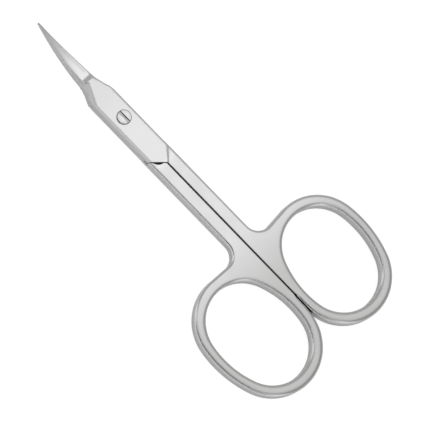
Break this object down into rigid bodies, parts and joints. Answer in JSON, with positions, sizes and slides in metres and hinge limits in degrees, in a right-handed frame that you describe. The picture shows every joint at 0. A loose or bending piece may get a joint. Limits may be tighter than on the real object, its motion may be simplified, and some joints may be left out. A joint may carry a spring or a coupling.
{
  "type": "cuticle scissors",
  "caption": "Small steel cuticle scissors: two forged halves with finger rings and fine up-curved pointed blades, turning on a slotted pivot screw.",
  "frame": {"origin": "on the pivot axis, in the plane of the back plate's outer face, on which the joint rests", "axes": "+X from the pivot to the blade tips, +Y towards the back half's finger ring, +Z along the pivot towards the screw's head and the side to which the blades curve"},
  "size_m": [0.0899, 0.0448, 0.0062],
  "materials": {
    "satin_steel": "fine satin on the flats, polished rounded edges",
    "screw_steel": "polished, slotted"
  },
  "bodies": {
    "back": {"back_half": "satin_steel", "pivot_screw": "screw_steel"},
    "front": {"front_half": "satin_steel"}
  },
  "joints": [
    {"name": "blade_pivot", "type": "hinge", "parent": "back", "child": "front", "pos_m": [0, 0, 0.00175], "axis": [0, 0, 1], "range_deg": [0, 140]}
  ]
}
